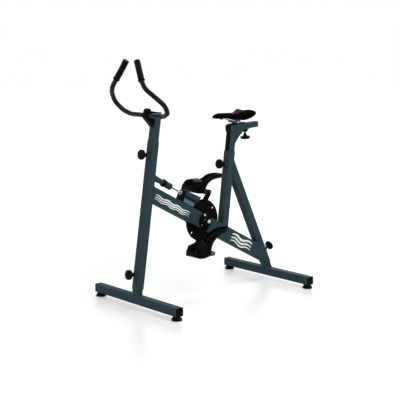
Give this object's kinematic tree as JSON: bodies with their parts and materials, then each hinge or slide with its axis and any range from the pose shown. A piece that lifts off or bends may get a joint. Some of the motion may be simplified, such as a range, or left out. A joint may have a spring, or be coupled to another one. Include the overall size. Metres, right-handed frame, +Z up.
{
  "type": "aqua bike",
  "caption": "Pedal bike for use in a pool: square-tube frame on two footed base bars, telescopic saddle and handlebar, brake disc in the beam, and foot pedals with toe straps.",
  "frame": {"origin": "on the floor, under the middle of the whole bike's length and width at rest", "axes": "+X to the front of the bike, +Y to the rider's left, +Z up"},
  "size_m": [1.0486, 0.685, 1.2739],
  "materials": {
    "frame_paint": "satin powder coat",
    "black_paint": "satin powder coat",
    "bar_coat": "black coated",
    "black_plastic": "moulded, fine grain",
    "black_rubber": "matte",
    "bright_steel": "polished",
    "white_nylon": "smooth",
    "saddle_cover": "vinyl, fine grain"
  },
  "bodies": {
    "frame": {"front_post": "frame_paint", "seat_tube": "frame_paint", "rear_strut": "frame_paint", "main_beam": "frame_paint", "brake_bracket": "frame_paint", "brake_socket": "frame_paint", "left_bearing_flange": "black_paint", "right_bearing_flange": "black_paint", "left_bushing": "white_nylon", "right_bushing": "white_nylon"},
    "front_base": {"front_base_bar": "frame_paint", "front_base_stub": "frame_paint", "front_base_cap_left": "black_plastic", "front_base_cap_right": "black_plastic", "front_foot_left": "black_rubber", "front_foot_right": "black_rubber"},
    "rear_base": {"rear_base_bar": "frame_paint", "rear_base_stub": "frame_paint", "rear_base_cap_left": "black_plastic", "rear_base_cap_right": "black_plastic", "rear_foot_left": "black_rubber", "rear_foot_right": "black_rubber"},
    "steering": {"handlebar_post": "frame_paint", "handlebar_bracket": "black_paint", "handlebar_clamp": "black_paint", "handlebar": "bar_coat", "left_grip": "black_rubber", "right_grip": "black_rubber"},
    "seat_mast": {"seat_post": "frame_paint", "slider_housing": "frame_paint", "slider_housing_cap": "black_plastic"},
    "slider": {"seat_slider": "frame_paint", "saddle_carriage": "black_paint"},
    "saddle_top": {"saddle_pivot_bolt": "bright_steel", "saddle_cradle": "black_paint", "saddle_jaw": "black_paint", "saddle_rails": "bright_steel", "saddle_shell": "black_plastic", "saddle": "saddle_cover"},
    "crankset": {"crank_axle": "bright_steel", "brake_disc": "black_paint", "left_crank": "black_paint", "right_crank": "black_paint", "left_pedal_axle": "bright_steel", "right_pedal_axle": "bright_steel"},
    "left_footplate": {"left_pedal": "black_plastic", "left_toe_strap": "black_plastic", "left_heel_guard": "black_plastic"},
    "right_footplate": {"right_pedal": "black_plastic", "right_toe_strap": "black_plastic", "right_heel_guard": "black_plastic"},
    "front_lower_clamp": {"front_lower_knob": "black_plastic"},
    "front_upper_clamp": {"front_upper_knob": "black_plastic"},
    "seat_post_clamp": {"seat_post_knob": "black_plastic"},
    "rear_clamp": {"rear_knob": "black_plastic"},
    "slider_clamp": {"slider_knob": "black_plastic"},
    "brake_screw": {"brake_knob": "black_plastic", "brake_rod": "bright_steel"},
    "brake_shoe": {"brake_carrier": "black_plastic", "brake_pad": "black_rubber"}
  },
  "joints": [
    {"name": "front_base_height", "type": "slide", "parent": "frame", "child": "front_base", "axis": [0.1452, 0, -0.9894], "range_m": [-0.02, 0.06]},
    {"name": "rear_base_height", "type": "slide", "parent": "frame", "child": "rear_base", "axis": [-0.4337, 0, -0.9011], "range_m": [-0.01, 0.06]},
    {"name": "handlebar_height", "type": "slide", "parent": "frame", "child": "steering", "axis": [-0.1452, 0, 0.9894], "range_m": [-0.06, 0.1]},
    {"name": "seat_height", "type": "slide", "parent": "frame", "child": "seat_mast", "axis": [-0.1201, 0, 0.9928], "range_m": [-0.04, 0.12]},
    {"name": "seat_slide", "type": "slide", "parent": "seat_mast", "child": "slider", "axis": [-0.9976, 0, 0.0698], "range_m": [0, 0.06]},
    {"name": "saddle_tilt", "type": "hinge", "parent": "slider", "child": "saddle_top", "pos_m": [-0.22474, 0, 0.9224], "axis": [0, 1, 0], "range_deg": [-8, 8]},
    {"name": "crank_spin", "type": "hinge", "parent": "frame", "child": "crankset", "pos_m": [0.01266, 0, 0.404], "axis": [0, 1, 0], "continuous": true},
    {"name": "left_pedal_spin", "type": "hinge", "parent": "crankset", "child": "left_footplate", "pos_m": [0.11017, 0.132, 0.26474], "axis": [0, 1, 0], "continuous": true},
    {"name": "right_pedal_spin", "type": "hinge", "parent": "crankset", "child": "right_footplate", "pos_m": [-0.08485, -0.132, 0.54326], "axis": [0, 1, 0], "continuous": true},
    {"name": "front_lower_knob_turn", "type": "hinge", "parent": "frame", "child": "front_lower_clamp", "pos_m": [0.49558, 0, 0.17865], "axis": [0.9894, 0, 0.1452], "range_deg": [0, 720]},
    {"name": "front_upper_knob_turn", "type": "hinge", "parent": "frame", "child": "front_upper_clamp", "pos_m": [0.40612, 0, 0.78812], "axis": [0.9894, 0, 0.1452], "range_deg": [0, 720]},
    {"name": "seat_post_knob_turn", "type": "hinge", "parent": "frame", "child": "seat_post_clamp", "pos_m": [-0.13178, 0, 0.69652], "axis": [0.9928, 0, 0.1201], "range_deg": [0, 720]},
    {"name": "rear_knob_turn", "type": "hinge", "parent": "frame", "child": "rear_clamp", "pos_m": [-0.49316, 0, 0.1838], "axis": [-0.9011, 0, 0.4337], "range_deg": [0, 720]},
    {"name": "slider_knob_turn", "type": "hinge", "parent": "seat_mast", "child": "slider_clamp", "pos_m": [-0.3083, 0, 0.84554], "axis": [-0.0698, 0, -0.9976], "range_deg": [0, 720]},
    {"name": "brake_knob_turn", "type": "hinge", "parent": "frame", "child": "brake_screw", "pos_m": [0.24236, 0, 0.61128], "axis": [0.8838, 0, 0.4679], "range_deg": [0, 1000]},
    {"name": "brake_shoe_slide", "type": "slide", "parent": "frame", "child": "brake_shoe", "axis": [-0.8838, 0, -0.4679], "range_m": [0, 0.00347]}
  ],
  "couplings": [
    {"joint": "brake_knob_turn", "follows": "brake_shoe_slide", "rad_per_m": 5026.5}
  ]
}
